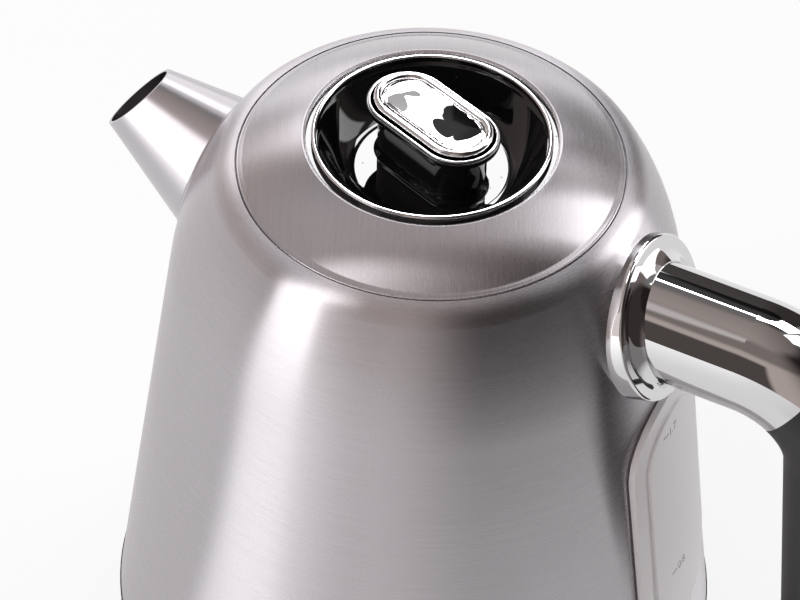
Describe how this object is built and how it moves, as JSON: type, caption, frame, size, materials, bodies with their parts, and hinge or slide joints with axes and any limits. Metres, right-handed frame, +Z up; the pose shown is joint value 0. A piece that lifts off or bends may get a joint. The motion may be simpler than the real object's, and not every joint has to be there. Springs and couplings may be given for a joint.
{
  "type": "electric kettle",
  "caption": "Cordless electric kettle in brushed steel with a conical spout, dished pull-off lid, cantilever handle, water gauge window and a round power base.",
  "frame": {"origin": "on the kettle's upright axis, at the height of the surface that the power base's foot ring stands on", "axes": "+Z up, +X towards the handle, -X towards the spout, +Y to the left when looking along +X from the spout"},
  "size_m": [0.2331, 0.179, 0.213],
  "materials": {
    "brushed_steel": "satin, fine brushing around the body",
    "polished_chrome": "mirror polished plating",
    "inner_steel": "plain pressed stainless steel",
    "gloss_black": "high gloss black",
    "matte_black": "fine grained matt black",
    "frosted_window": "frosted translucent plastic",
    "white_silicone": "soft matt silicone",
    "foot_rubber": "matt rubber",
    "aluminium": "plain",
    "brass": "plain, slightly dull",
    "control_plastic": "light grey heat-resistant moulding",
    "filter_plastic": "light grey plastic",
    "lens_red": "translucent red",
    "zinc_steel": "plain zinc-plated steel",
    "lead_insulation": "flexible insulation"
  },
  "bodies": {
    "power_base": {"base_housing": "matte_black", "base_plate": "matte_black", "base_foot_ring": "foot_rubber", "base_screws": "zinc_steel", "base_socket": "matte_black", "base_contacts": "brass", "cord_outlet": "matte_black", "base_leads": "lead_insulation"},
    "connector": {"kettle_connector": "control_plastic"},
    "kettle": {"body_shell": "brushed_steel", "mouth_collar": "inner_steel", "spout": "brushed_steel", "handle_ferrule": "polished_chrome", "handle_neck": "polished_chrome", "handle_core": "zinc_steel", "handle_bolts": "zinc_steel", "handle_washers": "white_silicone", "grip_left": "matte_black", "grip_right": "matte_black", "grip_screws": "zinc_steel", "window_panel": "frosted_window", "window_gasket": "white_silicone", "window_retainer": "filter_plastic", "heater_plate": "inner_steel", "heat_diffuser": "aluminium", "heating_element": "aluminium", "bimetal_disc": "zinc_steel", "control_block": "control_plastic", "mounting_posts": "zinc_steel", "steam_tube": "inner_steel", "steam_tube_seal": "white_silicone", "steam_switch": "control_plastic", "switch_leads": "lead_insulation", "base_moulding": "matte_black", "base_moulding_screws": "zinc_steel"},
    "lid": {"lid_ring": "brushed_steel", "lid_bead_ring": "polished_chrome", "lid_dish": "gloss_black", "lid_pan": "inner_steel", "lid_seal": "white_silicone", "knob_body": "gloss_black", "knob_cap": "polished_chrome", "knob_screw": "zinc_steel"},
    "switch": {"switch_lever": "matte_black", "indicator_lens": "lens_red"},
    "filter": {"filter_frame": "filter_plastic", "filter_mesh": "inner_steel"}
  },
  "joints": [
    {"name": "kettle_lift", "type": "slide", "parent": "power_base", "child": "connector", "axis": [0, 0, 1], "range_m": [0, 0.06]},
    {"name": "kettle_swivel", "type": "hinge", "parent": "connector", "child": "kettle", "pos_m": [0, 0, 0.03], "axis": [0, 0, 1], "continuous": true},
    {"name": "lid_lift", "type": "slide", "parent": "kettle", "child": "lid", "axis": [0, 0, 1], "range_m": [0, 0.05]},
    {"name": "switch_rock", "type": "hinge", "parent": "kettle", "child": "switch", "pos_m": [0.06889, 0, 0.027], "axis": [0, 1, 0], "range_deg": [0, 10]},
    {"name": "filter_pull", "type": "slide", "parent": "kettle", "child": "filter", "axis": [1, 0, 0], "range_m": [0, 0.018]}
  ]
}
